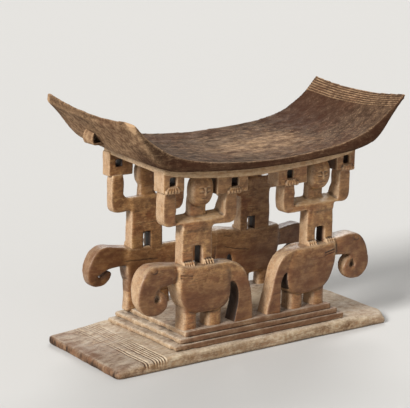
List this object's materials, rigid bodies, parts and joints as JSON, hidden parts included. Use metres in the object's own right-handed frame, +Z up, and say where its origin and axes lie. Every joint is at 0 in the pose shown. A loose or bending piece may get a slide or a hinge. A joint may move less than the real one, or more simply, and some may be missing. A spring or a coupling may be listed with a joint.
{
  "type": "carved wooden stool",
  "caption": "Carved wooden stool: a curved, dished seat held up by four figures standing on four elephants, over a stepped plinth and a long base board.",
  "frame": {"origin": "middle of the footprint, on the floor under the base board", "axes": "+X to the stool's right end, along the seat and the base; +Y to its back; +Z up"},
  "size_m": [0.56, 0.228, 0.407],
  "materials": {
    "seat_wood": "worn",
    "carved_wood": "hand carved, rubbed",
    "base_wood": "dusty, worn"
  },
  "bodies": {
    "root": {"base_board": "base_wood", "elephant_body_back_left": "carved_wood", "elephant_body_back_right": "carved_wood", "elephant_body_front_left": "carved_wood", "elephant_body_front_right": "carved_wood", "elephant_foreleg_back_left": "carved_wood", "elephant_foreleg_back_right": "carved_wood", "elephant_foreleg_front_left": "carved_wood", "elephant_foreleg_front_right": "carved_wood", "elephant_head_back_left": "carved_wood", "elephant_head_back_right": "carved_wood", "elephant_head_front_left": "carved_wood", "elephant_head_front_right": "carved_wood", "elephant_hindleg_back_left": "carved_wood", "elephant_hindleg_back_right": "carved_wood", "elephant_hindleg_front_left": "carved_wood", "elephant_hindleg_front_right": "carved_wood", "elephant_tail_back_left": "carved_wood", "elephant_tail_back_right": "carved_wood", "elephant_tail_front_left": "carved_wood", "elephant_tail_front_right": "carved_wood", "figure_head_back_left": "carved_wood", "figure_head_back_right": "carved_wood", "figure_head_front_left": "carved_wood", "figure_head_front_right": "carved_wood", "figure_inner_arm_back_left": "carved_wood", "figure_inner_arm_back_right": "carved_wood", "figure_inner_arm_front_left": "carved_wood", "figure_inner_arm_front_right": "carved_wood", "figure_outer_arm_back_left": "carved_wood", "figure_outer_arm_back_right": "carved_wood", "figure_outer_arm_front_left": "carved_wood", "figure_outer_arm_front_right": "carved_wood", "figure_torso_back_left": "carved_wood", "figure_torso_back_right": "carved_wood", "figure_torso_front_left": "carved_wood", "figure_torso_front_right": "carved_wood", "inner_block_back_left": "carved_wood", "inner_block_back_right": "carved_wood", "inner_block_front_left": "carved_wood", "inner_block_front_right": "carved_wood", "outer_block_back_left": "carved_wood", "outer_block_back_right": "carved_wood", "outer_block_front_left": "carved_wood", "outer_block_front_right": "carved_wood", "plinth_lower_step": "base_wood", "plinth_middle_step": "base_wood", "plinth_upper_step": "base_wood", "seat": "seat_wood", "seat_bearer": "carved_wood", "seat_lug": "carved_wood"}
  },
  "joints": []
}
